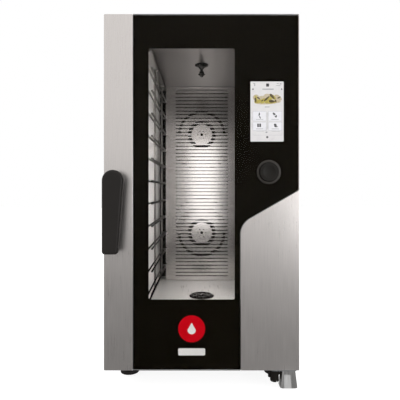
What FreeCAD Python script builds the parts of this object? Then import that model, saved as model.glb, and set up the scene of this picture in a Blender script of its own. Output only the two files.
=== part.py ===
import FreeCAD, Part
import math
import os
from FreeCAD import Vector

# Combi steamer oven: a floor cabinet on four feet, with a full-width hinged door in front.
# Millimetres. Origin on the floor under the middle of the overall box.
# +X is the viewer's right when facing the door, the door faces -Y, +Z is up.

# ---- overall ----
HALF_WIDTH = 285.0
BASE_Z = 70.0
TOP_Z = 1110.0
CHIMNEY_TOP_Z = 1150.0
FRONT_Y = -489.0
REAR_Y = 489.0
CASE_BACK_Y = 459.0
SHEET = 1.5
GAP = 0.3
RUNNING = 0.05

# ---- door ----
DOOR_FRONT_Y = -431.0
DOOR_BACK_Y = -371.0
CASE_FRONT_Y = -367.0
GLASS = 6.0
GLASS_BACK_Y = DOOR_FRONT_Y + GLASS
LEFT_TRIM_X = -200.0
RIGHT_TRIM_X = 114.0
TRIM_CORNER_Z = 498.0
TRIM_CORNER_RADIUS = 52.0
TRIM_SLOPE = math.tan(math.radians(30.0))
WINDOW_X = (-155.0, 97.0)
WINDOW_Z = (276.0, 1011.0)
SURROUND_X = (WINDOW_X[0] - 17, WINDOW_X[1] + 17)
SURROUND_Z = (WINDOW_Z[0] - 18, WINDOW_Z[1] + 21)

# ---- door hinge and latch ----
HINGE_X = 277.0
HINGE_Y = -385.0
HINGE_PIN_RADIUS = 5.0
HINGE_ARM_RADIUS = 8.0
NOTCH_X = 262.0
NOTCH_Y = (-410.0, DOOR_BACK_Y)
NOTCH_HEIGHT = 10.0
HANDLE_X = -247.5
HANDLE_Z = 625.0
HANDLE_TOP_Z = 653.0
HANDLE_LOW_Z = 416.5
HANDLE_WIDTH = 62.0
HANDLE_TAPER = 18.0
SPINDLE_RADIUS = 6.0
LATCH_Y = (-360.0, -352.0)

# ---- controls in the door ----
DISPLAY_CENTRE = (191.0, 826.0)
DISPLAY_SIZE = (99.0, 177.0)
KNOB_X = 196.0
KNOB_Z = 649.0
KNOB_FRONT_Y = -447.0
KNOB_RADIUS = 28.5
BEZEL_RADIUS = 35.0
BEZEL_BORE = 29.0
BEZEL_SLEEVE_RADIUS = 31.0

# ---- cooking cavity ----
CAVITY_HALF = 195.0
CAVITY_Z = (193.0, 1059.0)
CAVITY_BACK_Y = 300.0
COVER_Y = 205.0
COVER_HALF = 160.0
COVER_Z = (195.0, 1057.0)
FAN_Z = (406.0, 843.0)
SLOT_HALF = 116.0
SLOT_PITCH = (FAN_Z[1] - FAN_Z[0]) / 28
SLOT_PHASE = -4.5
SLOT_HEIGHT = 3.6
INNER_RING = (46.0, 62.0)
OUTER_RING = (94.5, 105.5)
RING_RIB = 6.0
DISC_HOLES_RADIUS = 17.0
WASH_Y = -109.0
DRAIN_Y = -65.0

# ---- tray racks ----
LEVELS = 11
LEVEL_PITCH = 72.0
FIRST_LEVEL_Z = 265.0
RACK_Y = (-330.0, 195.0)
RACK_Z = (222.0, 1049.0)
RACK_POST_X = 177.0
RACK_TOP_X = 161.0
RACK_POST_RADIUS = 4.0
RACK_WIRE_RADIUS = 3.5
GUARD_X = 170.0
RAIL_X = 158.0

# ---- services at the back ----
DRAIN_RUN_RADIUS = 18.0
DRAIN_SPIGOT_RADIUS = 20.0
SPIGOT_Y = CASE_BACK_Y + 1
DRAIN_PIPE_Z = 112.0
WATER_INLETS_X = (-205.0, -140.0)
WATER_INLET_Z = 118.0
WATER_THREAD_RADIUS = 13.2
VENT_X = 110.0
VENT_Y = 250.0
VENT_RADIUS = 30.0
FLAP_Z = 1099.5
GLAND_X = 205.0
GLAND_Z = 118.0
COOLING_X = 190.0
COOLING_Z = 950.0

# ---- feet and hand shower ----
FEET_X = 236.0
FEET_FRONT_Y = -275.0
FEET_REAR_Y = 400.0
FOOT_RADIUS = 30.0
FOOT_NECK_RADIUS = 21.0
FOOT_THREAD_RADIUS = 6.0
SHOWER_X = 256.8
SHOWER_Y = -405.0
SHOWER_LOW_Z = 15.0
VALVE_X = 217.0
VALVE_RADIUS = 13.0
VALVE_LOW_Z = 29.0
TONGUE_Z = 65.0
TONGUE_THICK = 3.5
LEVER_Z = 45.0
LEVER_PIN_RADIUS = 2.0

# ---- heat and air ----
HEATER_RADIUS = 150.0
HEATER_Y = 262.0
HEATER_DROP = math.sqrt(HEATER_RADIUS ** 2 - 20.0 ** 2)
WHEEL_RADIUS = 118.0


# ---------------------------------------------------------------- shape helpers
def box(x0, x1, y0, y1, z0, z1):
    return Part.makeBox(x1 - x0, y1 - y0, z1 - z0, Vector(x0, y0, z0))


def rod_x(x0, x1, y, z, radius):
    return Part.makeCylinder(radius, x1 - x0, Vector(x0, y, z), Vector(1, 0, 0))


def rod_y(y0, y1, x, z, radius):
    return Part.makeCylinder(radius, y1 - y0, Vector(x, y0, z), Vector(0, 1, 0))


def rod_z(z0, z1, x, y, radius):
    return Part.makeCylinder(radius, z1 - z0, Vector(x, y, z0), Vector(0, 0, 1))


def join(*solids):
    return solids[0].multiFuse(list(solids[1:])).removeSplitter()


def outline(corners):
    """Closed wire in the XZ plane. Each corner is (x, z) or (x, z, rounding radius)."""
    points = [Vector(c[0], 0, c[1]) for c in corners]
    radii = [c[2] if len(c) > 2 else 0.0 for c in corners]
    starts = []
    ends = []
    arcs = []
    for i, point in enumerate(points):
        to_last = (points[i - 1] - point).normalize()
        to_next = (points[(i + 1) % len(points)] - point).normalize()
        half_angle = to_last.getAngle(to_next) / 2
        reach = radii[i] / math.tan(half_angle)
        starts.append(point + to_last * reach)
        ends.append(point + to_next * reach)
        if radii[i] > 0:
            inward = (to_last + to_next).normalize()
            middle = point + inward * (radii[i] / math.sin(half_angle) - radii[i])
            arcs.append(Part.Arc(starts[i], middle, ends[i]).toShape())
        else:
            arcs.append(None)
    edges = []
    for i in range(len(points)):
        if arcs[i] is not None:
            edges.append(arcs[i])
        following = starts[(i + 1) % len(points)]
        if (following - ends[i]).Length > 1e-6:
            edges.append(Part.LineSegment(ends[i], following).toShape())
    return Part.Wire(edges)


def plate(corners, y0, y1):
    """Flat piece with an outline in XZ, from y0 to y1."""
    face = Part.Face(outline(corners))
    face.translate(Vector(0, y0, 0))
    return face.extrude(Vector(0, y1 - y0, 0))


def turned(corners, x, y, z=0.0):
    """Solid of revolution about a vertical axis at x, y. Corners are (radius, height)."""
    solid = Part.Face(outline(corners)).revolve(Vector(0, 0, 0), Vector(0, 0, 1), 360)
    solid.translate(Vector(x, y, z))
    return solid


def turned_forward(corners, x, z):
    """Solid of revolution about a front-to-back axis. Corners are (radius, -y)."""
    solid = Part.Face(outline(corners)).revolve(Vector(0, 0, 0), Vector(0, 0, 1), 360)
    solid.rotate(Vector(0, 0, 0), Vector(1, 0, 0), 90)
    solid.translate(Vector(x, 0, z))
    return solid


def route(points, bend):
    """Path of straight runs joined by tangent arcs of radius bend."""
    edges = []
    last = points[0]
    for before, corner, after in zip(points, points[1:], points[2:]):
        back = (before - corner).normalize()
        ahead = (after - corner).normalize()
        half_angle = back.getAngle(ahead) / 2
        start = corner + back * (bend / math.tan(half_angle))
        end = corner + ahead * (bend / math.tan(half_angle))
        inward = (back + ahead).normalize()
        middle = corner + inward * (bend / math.sin(half_angle) - bend)
        edges.append(Part.LineSegment(last, start).toShape())
        edges.append(Part.Arc(start, middle, end).toShape())
        last = end
    edges.append(Part.LineSegment(last, points[-1]).toShape())
    return Part.Wire(edges)


def bent_rod(points, radius, bend):
    points = [Vector(*p) for p in points]
    profile = Part.Wire([Part.Circle(points[0], points[1] - points[0], radius).toShape()])
    return route(points, bend).makePipeShell([profile], True, True)


def bent_tube(points, outer, inner, bend):
    return bent_rod(points, outer, bend).cut(bent_rod(points, inner, bend))


def edges_at_y(shape, y):
    return [e for e in shape.Edges if all(abs(v.Y - y) < 0.01 for v in e.Vertexes)]


def mirror_x(shape):
    return shape.mirror(Vector(0, 0, 0), Vector(1, 0, 0))


def feet_positions():
    return {
        "front_left": (-FEET_X, FEET_FRONT_Y),
        "front_right": (FEET_X, FEET_FRONT_Y),
        "rear_left": (-FEET_X, FEET_REAR_Y),
        "rear_right": (FEET_X, FEET_REAR_Y),
    }


# ---------------------------------------------------------------- casing
def base_pan():
    inside = HALF_WIDTH - SHEET - GAP
    front = CASE_FRONT_Y + SHEET
    rear = CASE_BACK_Y - SHEET - GAP
    floor = box(-inside, inside, front, rear, BASE_Z, BASE_Z + 2)
    rails = [
        box(-inside, -inside + 2, front, rear, BASE_Z + 2, BASE_Z + 24),
        box(inside - 2, inside, front, rear, BASE_Z + 2, BASE_Z + 24),
    ]
    nuts = [rod_z(BASE_Z + 2, BASE_Z + 16, x, y, 12) for x, y in feet_positions().values()]
    holes = [
        rod_z(BASE_Z - 1, BASE_Z + 17, x, y, FOOT_THREAD_RADIUS + RUNNING)
        for x, y in feet_positions().values()
    ]
    return join(floor, *rails, *nuts).cut(holes)


def right_side_panel():
    front = CASE_FRONT_Y + SHEET
    skin = box(HALF_WIDTH - SHEET, HALF_WIDTH, front, CASE_BACK_Y, BASE_Z, TOP_Z - SHEET - GAP)
    inner = HALF_WIDTH - SHEET
    front_fold = box(inner - 10, inner, front, front + SHEET, BASE_Z + 40, TOP_Z - 60)
    louvres = []
    for row in range(8):
        z = 150 + row * 16
        louvres.append(box(inner - 1, HALF_WIDTH + 1, 330, 420, z, z + 4))
    return join(skin, front_fold).cut(louvres)


def left_side_panel():
    return mirror_x(right_side_panel())


def top_panel():
    inside = HALF_WIDTH - SHEET - GAP
    front = CASE_FRONT_Y + SHEET
    lid = box(-HALF_WIDTH, HALF_WIDTH, front, CASE_BACK_Y, TOP_Z - SHEET, TOP_Z)
    left_fold = box(-inside, -inside + SHEET, -330, 440, TOP_Z - 14, TOP_Z - SHEET)
    collar = rod_z(TOP_Z, TOP_Z + 6, VENT_X, VENT_Y, VENT_RADIUS + 8)
    hole = rod_z(TOP_Z - 20, TOP_Z + 10, VENT_X, VENT_Y, VENT_RADIUS + 1)
    return join(lid, left_fold, mirror_x(left_fold), collar).cut(hole)


def back_panel():
    inside = HALF_WIDTH - SHEET - GAP
    y0 = CASE_BACK_Y - SHEET
    skin = box(-inside, inside, y0, CASE_BACK_Y, BASE_Z, TOP_Z - SHEET - GAP)
    low = y0 - 1
    high = CASE_BACK_Y + 1
    holes = [rod_y(low, high, 0, DRAIN_PIPE_Z, DRAIN_SPIGOT_RADIUS + 1)]
    for x in WATER_INLETS_X:
        holes.append(rod_y(low, high, x, WATER_INLET_Z, WATER_THREAD_RADIUS + 0.5))
    holes.append(rod_y(low, high, GLAND_X, GLAND_Z, 10.3))
    for row in range(9):
        dz = (row - 4) * 12.0
        half = math.sqrt(56.0 ** 2 - dz ** 2)
        z = COOLING_Z + dz
        holes.append(box(COOLING_X - half, COOLING_X + half, low, high, z - 3, z + 3))
    return skin.cut(holes)


def front_frame():
    y0 = CASE_FRONT_Y
    y1 = CASE_FRONT_Y + SHEET
    face = box(-HALF_WIDTH, HALF_WIDTH, y0, y1, BASE_Z, TOP_Z)
    mouth = box(-CAVITY_HALF, CAVITY_HALF, y0 - 1, y1 + 1, *CAVITY_Z)
    latch_hole = box(HANDLE_X - 14, HANDLE_X + 14, y0 - 1, y1 + 1, HANDLE_Z - 36, HANDLE_Z + 26)
    arm_left = HINGE_X - HINGE_ARM_RADIUS - 1
    top_notch = box(arm_left, HALF_WIDTH + 1, y0 - 1, y1 + 1, TOP_Z - 8, TOP_Z + 1)
    low_notch = box(arm_left, HALF_WIDTH + 1, y0 - 1, y1 + 1, BASE_Z - 1, BASE_Z + 8)
    return face.cut([mouth, latch_hole, top_notch, low_notch])


def door_gasket():
    y0 = DOOR_BACK_Y + GAP
    outer = box(-212, 212, y0, CASE_FRONT_Y, CAVITY_Z[0] - 17, CAVITY_Z[1] + 17)
    inner = box(-198, 198, y0 - 1, CASE_FRONT_Y + 1, CAVITY_Z[0] - 3, CAVITY_Z[1] + 3)
    ring = outer.cut(inner)
    corners = [
        e for e in ring.Edges
        if len(e.Vertexes) == 2 and abs(e.Vertexes[0].Y - e.Vertexes[1].Y) > 3
    ]
    return ring.makeFillet(3.0, corners)


def insulation():
    """Mineral wool slabs round the cavity: two sides, top, bottom and back."""
    inner = CAVITY_HALF + SHEET + GAP
    outer = 250.0
    low = CAVITY_Z[0] - SHEET - GAP
    high = CAVITY_Z[1] + SHEET + GAP
    rear = CAVITY_BACK_Y + SHEET
    right = box(inner, outer, -340, rear, 155, 1090)
    top = box(-inner, inner, -340, rear, high, 1090)
    top_holes = [rod_z(high - 1, 1091, 0, WASH_Y, 14)]
    top_holes.append(rod_z(high - 1, 1091, VENT_X, VENT_Y, VENT_RADIUS + 1))
    bottom = box(-inner, inner, -340, rear, 155, low)
    bottom_hole = rod_z(154, low + 1, 0, DRAIN_Y, 38)
    back = box(-outer, outer, rear + GAP, 341, 155, 1090)
    back_holes = []
    for z in FAN_Z:
        back_holes.append(rod_y(rear, 342, 0, z, 12))
        back_holes.append(rod_y(rear, 342, -132, z, 6))
        for x in (-20, 20):
            back_holes.append(rod_y(rear, 342, x, z - HEATER_DROP, 6))
    return [
        right,
        mirror_x(right),
        top.cut(top_holes),
        bottom.cut(bottom_hole),
        back.cut(back_holes),
    ]


def cover_screws():
    """Pan-head screws that hold the back panel and the two side panels."""
    heads = []
    for x in (-274, 274):
        for z in (130, 370, 610, 850, 1080):
            heads.append(rod_y(CASE_BACK_Y, CASE_BACK_Y + 2.2, x, z, 4.2))
    for x in (-140, 0, 140):
        heads.append(rod_y(CASE_BACK_Y, CASE_BACK_Y + 2.2, x, 1092, 4.2))
    return heads


# ---------------------------------------------------------------- cavity
def cavity_side_walls():
    y0 = CASE_FRONT_Y + SHEET
    z0 = CAVITY_Z[0] - SHEET
    z1 = CAVITY_Z[1] + SHEET
    right = box(CAVITY_HALF, CAVITY_HALF + SHEET, y0, CAVITY_BACK_Y, z0, z1)
    return [right, mirror_x(right)]


def cavity_ceiling():
    y0 = CASE_FRONT_Y + SHEET
    z0 = CAVITY_Z[1]
    sheet = box(-CAVITY_HALF, CAVITY_HALF, y0, CAVITY_BACK_Y, z0, z0 + SHEET)
    stem_hole = rod_z(z0 - 1, z0 + 3, 0, WASH_Y, 5.5)
    vent_hole = rod_z(z0 - 1, z0 + 3, VENT_X, VENT_Y, VENT_RADIUS - 2)
    return sheet.cut([stem_hole, vent_hole])


def cavity_floor():
    y0 = CASE_FRONT_Y + SHEET
    z1 = CAVITY_Z[0]
    sheet = box(-CAVITY_HALF, CAVITY_HALF, y0, CAVITY_BACK_Y, z1 - SHEET, z1)
    return sheet.cut(rod_z(z1 - 3, z1 + 1, 0, DRAIN_Y, 36))


def cavity_back_wall():
    outer = CAVITY_HALF + SHEET
    y0 = CAVITY_BACK_Y
    y1 = CAVITY_BACK_Y + SHEET
    sheet = box(-outer, outer, y0, y1, CAVITY_Z[0] - SHEET, CAVITY_Z[1] + SHEET)
    holes = []
    for z in FAN_Z:
        holes.append(rod_y(y0 - 1, y1 + 1, 0, z, 11))
        holes.append(rod_y(y0 - 1, y1 + 1, -132, z, 4.3))
        for x in (-20, 20):
            holes.append(rod_y(y0 - 1, y1 + 1, x, z - HEATER_DROP, 4.3))
    return sheet.cut(holes)


def annulus_slots(z, inner, outer):
    """Ring-shaped opening in the fan cover, crossed by level ribs."""
    y0 = COVER_Y - 1
    y1 = COVER_Y + SHEET + 1
    ring = rod_y(y0, y1, 0, z, outer).cut(rod_y(y0 - 1, y1 + 1, 0, z, inner))
    rows = int(outer / SLOT_PITCH) + 1
    ribs = []
    for row in range(-rows, rows + 1):
        low = z + SLOT_PHASE + (row + 0.5) * SLOT_PITCH - RING_RIB / 2
        ribs.append(box(-outer - 1, outer + 1, y0 - 1, y1 + 1, low, low + RING_RIB))
    return ring.cut(ribs)


def fan_cover():
    """Sheet with rows of slots, a ringed disc before each fan, and a half ring beyond each."""
    y0 = COVER_Y
    y1 = COVER_Y + SHEET
    sheet = box(-COVER_HALF, COVER_HALF, y0, y1, *COVER_Z)
    fold = box(COVER_HALF - SHEET, COVER_HALF, y1, y1 + 14, *COVER_Z)
    posts = []
    for x in (14 - COVER_HALF, COVER_HALF - 14):
        for z in (COVER_Z[0] + 22, sum(COVER_Z) / 2, COVER_Z[1] - 22):
            posts.append(rod_y(y1, CAVITY_BACK_Y, x, z, 5))
    body = join(sheet, fold, mirror_x(fold), *posts)
    discs = [rod_y(y0 - 2, y1 + 2, 0, z, INNER_RING[0]) for z in FAN_Z]
    cuts = []
    phase = FAN_Z[0] + SLOT_PHASE
    first = phase - SLOT_PITCH * int((phase - COVER_Z[0] - 10) / SLOT_PITCH)
    rows = int((COVER_Z[1] - 10 - first) / SLOT_PITCH) + 1
    for row in range(rows):
        z = first + row * SLOT_PITCH
        low = z - SLOT_HEIGHT / 2
        cuts.append(box(-SLOT_HALF, SLOT_HALF, y0 - 1, y1 + 1, low, low + SLOT_HEIGHT).cut(discs))
    rib = SLOT_PHASE + SLOT_PITCH / 2
    for z, keep in zip(FAN_Z, ((COVER_Z[0], FAN_Z[0] + rib), (FAN_Z[1] + rib, COVER_Z[1]))):
        half = box(-COVER_HALF, COVER_HALF, y0 - 2, y1 + 2, *keep)
        cuts.append(annulus_slots(z, *INNER_RING))
        cuts.append(annulus_slots(z, *OUTER_RING).common(half))
        cuts.append(rod_y(y0 - 1, y1 + 1, 0, z, 6))
        for k in range(6):
            angle = k * math.pi / 3
            x = DISC_HOLES_RADIUS * math.cos(angle)
            cuts.append(rod_y(y0 - 1, y1 + 1, x, z + DISC_HOLES_RADIUS * math.sin(angle), 2.2))
    return body.cut(cuts)


def rack_frame(side):
    """Three posts, a wire along the bottom, and a top wire set inward on short arms."""
    x = side * RACK_POST_X
    top_x = side * RACK_TOP_X
    low, high = RACK_Z
    stations = (RACK_Y[0], sum(RACK_Y) / 2, RACK_Y[1])
    posts = [rod_z(low, high + RACK_WIRE_RADIUS, x, y, RACK_POST_RADIUS) for y in stations]
    bottom = rod_y(*RACK_Y, x, low, RACK_WIRE_RADIUS).cut(posts).Solids
    top = rod_y(*RACK_Y, top_x, high, RACK_WIRE_RADIUS)
    arms = []
    for y in stations:
        arm = rod_x(min(x, top_x), max(x, top_x), y, high, RACK_WIRE_RADIUS)
        arms.append(arm.cut([top, *posts]))
    return [*posts, *bottom, top, *arms]


def rack_rail(side, z):
    """U-shaped tray rail: a supporting wire inside and a guard wire outside."""
    y0 = RACK_Y[0] + 10
    y1 = RACK_Y[1] - 10
    bend = (GUARD_X - RAIL_X) / 2
    path = Part.Wire([
        Part.LineSegment(Vector(GUARD_X, y0, z), Vector(GUARD_X, y1, z)).toShape(),
        Part.Arc(
            Vector(GUARD_X, y1, z),
            Vector(GUARD_X - bend, y1 + bend, z),
            Vector(RAIL_X, y1, z),
        ).toShape(),
        Part.LineSegment(Vector(RAIL_X, y1, z), Vector(RAIL_X, y0, z)).toShape(),
    ])
    profile = Part.Wire([Part.Circle(Vector(GUARD_X, y0, z), Vector(0, 1, 0), 3).toShape()])
    rail = path.makePipeShell([profile], True, True)
    return rail if side > 0 else mirror_x(rail)


def tray_rack(side):
    rails = [rack_rail(side, FIRST_LEVEL_Z + k * LEVEL_PITCH) for k in range(LEVELS)]
    return rack_frame(side) + rails


def tray_rack_left():
    return tray_rack(-1)


def tray_rack_right():
    return tray_rack(1)


def rack_studs():
    """Studs in the side walls that the racks hang on."""
    studs = []
    for y in (-290, 160):
        for x, z in zip((RACK_POST_X, RACK_TOP_X), RACK_Z):
            stud = rod_x(x + RACK_WIRE_RADIUS, CAVITY_HALF, y, z, 6)
            studs.append(stud)
            studs.append(mirror_x(stud))
    return studs


def drain_strainer():
    """Round lift-out cover with two kidney openings either side of a bar."""
    z = CAVITY_Z[0]
    body = turned([(0, 0), (46.5, 0, 0.8), (46.5, 3, 1.0), (38, 8, 4.0), (0, 8)], 0, DRAIN_Y, z)
    well = rod_z(z + 2, z + 9, 0, DRAIN_Y, 31).cut(rod_z(z + 1, z + 10, 0, DRAIN_Y, 12))
    bar = box(-40, 40, DRAIN_Y - 7, DRAIN_Y + 7, z, z + 10)
    kidneys = well.cut(bar)
    inside = rod_z(z - 1, z + 3, 0, DRAIN_Y, 33)
    return body.cut([kidneys, inside])


def drain_pipe():
    start = CAVITY_Z[0] - SHEET - GAP
    flange = rod_z(start - 4, start, 0, DRAIN_Y, 36)
    path = [(0, DRAIN_Y, start), (0, DRAIN_Y, DRAIN_PIPE_Z), (0, REAR_Y, DRAIN_PIPE_Z)]
    outside = bent_rod(path, DRAIN_RUN_RADIUS, 30)
    inside = bent_rod(path, DRAIN_RUN_RADIUS - 1.5, 30)
    spigot = rod_y(SPIGOT_Y, REAR_Y, 0, DRAIN_PIPE_Z, DRAIN_SPIGOT_RADIUS)
    return join(flange, outside, spigot).cut(inside)


# ---------------------------------------------------------------- fans, heat and steam
def heating_element(z):
    ring = Part.makeTorus(HEATER_RADIUS, 4, Vector(0, HEATER_Y, z), Vector(0, 1, 0))
    ends = [rod_y(HEATER_Y + 2, 332, x, z - HEATER_DROP, 3.2) for x in (-20, 20)]
    return join(ring, *ends)


def heating_elements():
    return [heating_element(z) for z in FAN_Z]


def fan_motor(z):
    flange = rod_y(341 + GAP, 345, 0, z, 75)
    can = rod_y(345, 445, 0, z, 58)
    fins = [box(-62, 62, 360 + 12 * k, 363 + 12 * k, z - 62, z + 62) for k in range(6)]
    shaft_hole = rod_y(340, 380, 0, z, 6 + RUNNING)
    return join(flange, can, *fins).cut(shaft_hole)


def fan_motors():
    return [fan_motor(z) for z in FAN_Z]


def fan_wheel(z):
    """Radial wheel: back plate, blades, front ring and the motor shaft."""
    y0 = 224.0
    y1 = 284.0
    back = rod_y(y1, y1 + 2, 0, z, WHEEL_RADIUS)
    rim = rod_y(y0, y0 + 2, 0, z, WHEEL_RADIUS).cut(rod_y(y0 - 1, y0 + 3, 0, z, 92))
    hub = rod_y(262, y1, 0, z, 18)
    shaft = rod_y(262, 376, 0, z, 6)
    blades = []
    count = 18
    for k in range(count):
        blade = box(94, WHEEL_RADIUS - 1, y0 + 2, y1, z - 1, z + 1)
        blade.rotate(Vector(105, 0, z), Vector(0, 1, 0), 35)
        blade.rotate(Vector(0, 0, z), Vector(0, 1, 0), 360.0 * k / count)
        blades.append(blade)
    return join(back, rim, hub, shaft, *blades)


def fan_wheel_lower():
    return fan_wheel(FAN_Z[0])


def fan_wheel_upper():
    return fan_wheel(FAN_Z[1])


def water_injector_pipes():
    """Two pipes that bring water to the middle of each fan wheel."""
    pipes = []
    start = WATER_INLET_Z + 18
    for z, riser_y in zip(FAN_Z, (385, 408)):
        path = [(-132, riser_y, start), (-132, riser_y, z), (-132, 214, z), (-30, 214, z)]
        pipes.append(bent_tube(path, 4, 3, 12))
    return pipes


def wash_stem():
    """Ceiling flange and spindle of the cleaning sprayer, and its feed pipe."""
    top = CAVITY_Z[1]
    profile = [
        (0, top + 20), (5, top + 20), (5, top), (25, top), (25, top - 3, 1.0),
        (12, top - 9, 3.0), (5, top - 18, 2.0), (5, top - 24.7), (3, top - 24.7),
        (3, top - 41.3), (5.5, top - 41.3), (5.5, top - 45, 1.5), (0, top - 45),
    ]
    spindle = turned(profile, 0, WASH_Y)
    high = 1098.0
    path = [
        (0, WASH_Y, top + 20), (0, WASH_Y, high), (-148, WASH_Y, high),
        (-148, 395, high), (-148, 395, WATER_INLET_Z + 18),
    ]
    return [spindle, bent_tube(path, 4, 3, 10)]


def wash_rotor():
    """Spinning spray head with three angled jets."""
    z0 = CAVITY_Z[1] - 41
    z1 = CAVITY_Z[1] - 25
    drum = turned([(0, z0), (9, z0, 1.5), (9, z1, 1.5), (0, z1)], 0, WASH_Y)
    jets = []
    for k in range(3):
        jet = Part.makeCylinder(2.4, 14, Vector(0, WASH_Y, z0 + 8), Vector(1, 0, -0.35))
        jet.rotate(Vector(0, WASH_Y, 0), Vector(0, 0, 1), 90 + 120 * k)
        jets.append(jet)
    return join(drum, *jets).cut(rod_z(z0 - 9, z1 + 1, 0, WASH_Y, 3 + RUNNING))


# ---------------------------------------------------------------- vent, water and power
def vent_pipe():
    base = CAVITY_Z[1] + SHEET
    duct = rod_z(base, TOP_Z + 7, VENT_X, VENT_Y, VENT_RADIUS - 0.5)
    collar = rod_z(TOP_Z + 7, CHIMNEY_TOP_Z, VENT_X, VENT_Y, VENT_RADIUS)
    inside = rod_z(base - 1, CHIMNEY_TOP_Z + 1, VENT_X, VENT_Y, VENT_RADIUS - 2)
    shaft_hole = rod_x(VENT_X - 40, VENT_X + 40, VENT_Y, FLAP_Z, 2.5 + RUNNING)
    return join(duct, collar).cut([inside, shaft_hole])


def vent_flap():
    disc = rod_z(FLAP_Z - 0.75, FLAP_Z + 0.75, VENT_X, VENT_Y, VENT_RADIUS - 2.5)
    shaft = rod_x(VENT_X - VENT_RADIUS - 3, VENT_X + 48, VENT_Y, FLAP_Z, 2.5)
    return join(disc, shaft)


def vent_actuator():
    body = box(VENT_X + 36, VENT_X + 88, VENT_Y - 18, VENT_Y + 18, 1090.5, 1107)
    return body.cut(rod_x(VENT_X + 35, VENT_X + 50, VENT_Y, FLAP_Z, 2.5 + RUNNING))


def water_inlet_valve(x):
    thread = rod_y(SPIGOT_Y, REAR_Y, x, WATER_INLET_Z, WATER_THREAD_RADIUS)
    neck = rod_y(CASE_BACK_Y - 8, SPIGOT_Y, x, WATER_INLET_Z, WATER_THREAD_RADIUS - 2)
    block = box(x - 18, x + 18, 375, CASE_BACK_Y - 8, WATER_INLET_Z - 18, WATER_INLET_Z + 18)
    coil = rod_z(WATER_INLET_Z + 18, WATER_INLET_Z + 48, x, 430, 14)
    bore = rod_y(430, REAR_Y + 1, x, WATER_INLET_Z, 8.5)
    return join(thread, neck, block, coil).cut(bore)


def water_inlet_valves():
    return [water_inlet_valve(x) for x in WATER_INLETS_X]


def circuit_board(x, y0, y1, z0, z1, grow):
    """Board in the YZ plane with parts standing on the side that grow points to."""
    face = x + 1.6 if grow > 0 else x
    pieces = [box(x, x + 1.6, y0, y1, z0, z1)]
    for row in range(4):
        for column in range(3):
            a = y0 + (y1 - y0) * (0.12 + 0.29 * column)
            b = z0 + (z1 - z0) * (0.10 + 0.22 * row)
            tall = 8 + 3 * ((row + column) % 3)
            low, high = sorted((face, face + grow * tall))
            pieces.append(box(low, high, a, a + 28, b, b + 34))
    return pieces


def power_board():
    pieces = circuit_board(255, -120, 180, 300, 680, 1)
    wall = HALF_WIDTH - SHEET
    posts = [rod_x(256, wall, y, z, 4) for y in (-110, 170) for z in (310, 670)]
    return join(*pieces, *posts)


def terminal_block():
    base = box(100, 184, 380, 410, BASE_Z + 2, BASE_Z + 24)
    slots = [box(106 + 16 * k, 114 + 16 * k, 379, 411, BASE_Z + 14, BASE_Z + 25) for k in range(5)]
    return base.cut(slots)


def cable_gland():
    back = CASE_BACK_Y
    thread = rod_y(back - 14, back, GLAND_X, GLAND_Z, 10)
    nut = rod_y(back - SHEET - 5, back - SHEET, GLAND_X, GLAND_Z, 15)
    dome = turned_forward(
        [(0, -back - 22), (11, -back - 22, 3.0), (14, -back - 10, 2.0), (14, -back), (0, -back)],
        GLAND_X, GLAND_Z,
    )
    return join(thread, nut, dome).cut(rod_y(back - 20, back + 30, GLAND_X, GLAND_Z, 6))


def cooling_fan_frame():
    y1 = CASE_BACK_Y - SHEET - GAP
    y0 = y1 - 25
    frame = box(COOLING_X - 60, COOLING_X + 60, y0, y1, COOLING_Z - 60, COOLING_Z + 60)
    duct = rod_y(y0 - 1, y1 + 1, COOLING_X, COOLING_Z, 57)
    hub = rod_y(y1 - 5, y1, COOLING_X, COOLING_Z, 18)
    arms = [
        box(COOLING_X - 59, COOLING_X + 59, y1 - 4, y1, COOLING_Z - 2, COOLING_Z + 2),
        box(COOLING_X - 2, COOLING_X + 2, y1 - 4, y1, COOLING_Z - 59, COOLING_Z + 59),
    ]
    bearing = rod_y(y1 - 6, y1 - 1, COOLING_X, COOLING_Z, 2 + RUNNING)
    return join(frame.cut(duct), hub, *arms).cut(bearing)


def cooling_fan_wheel():
    y1 = CASE_BACK_Y - SHEET - GAP - 6
    y0 = y1 - 17
    hub = rod_y(y0, y1, COOLING_X, COOLING_Z, 20)
    pin = rod_y(y1, y1 + 4, COOLING_X, COOLING_Z, 2)
    blades = []
    for k in range(7):
        blade = box(18, 54, -1, 1, -18, 18)
        blade.rotate(Vector(0, 0, 0), Vector(1, 0, 0), 62)
        blade = blade.common(rod_y(-8, 8, 0, 0, 55))
        blade.rotate(Vector(0, 0, 0), Vector(0, 1, 0), 360.0 * k / 7)
        blade.translate(Vector(COOLING_X, (y0 + y1) / 2, COOLING_Z))
        blades.append(blade)
    return join(hub, pin, *blades)


# ---------------------------------------------------------------- hinge, latch and shower fixings
def hinge_arm(z0, z1):
    """Flat arm through the front frame, round at the pin."""
    nose = rod_z(z0, z1, HINGE_X, HINGE_Y, HINGE_ARM_RADIUS)
    rear = CASE_FRONT_Y + SHEET + 4
    bar = box(HINGE_X - HINGE_ARM_RADIUS, HINGE_X + 3.5, HINGE_Y, rear, z0, z1)
    return nose.fuse(bar)


def hinge_leg(z0, z1):
    """Flange of a hinge bracket, screwed to the back of the front frame."""
    y0 = CASE_FRONT_Y + SHEET
    return box(HINGE_X - 22, HINGE_X - 4, y0, y0 + 4, z0, z1)


def upper_hinge_bracket():
    z0 = TOP_Z - 7
    z1 = TOP_Z - 3
    pin = rod_z(TOP_Z - 26, z0, HINGE_X, HINGE_Y, HINGE_PIN_RADIUS)
    return join(hinge_arm(z0, z1), hinge_leg(z0 - 50, z1), pin)


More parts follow.
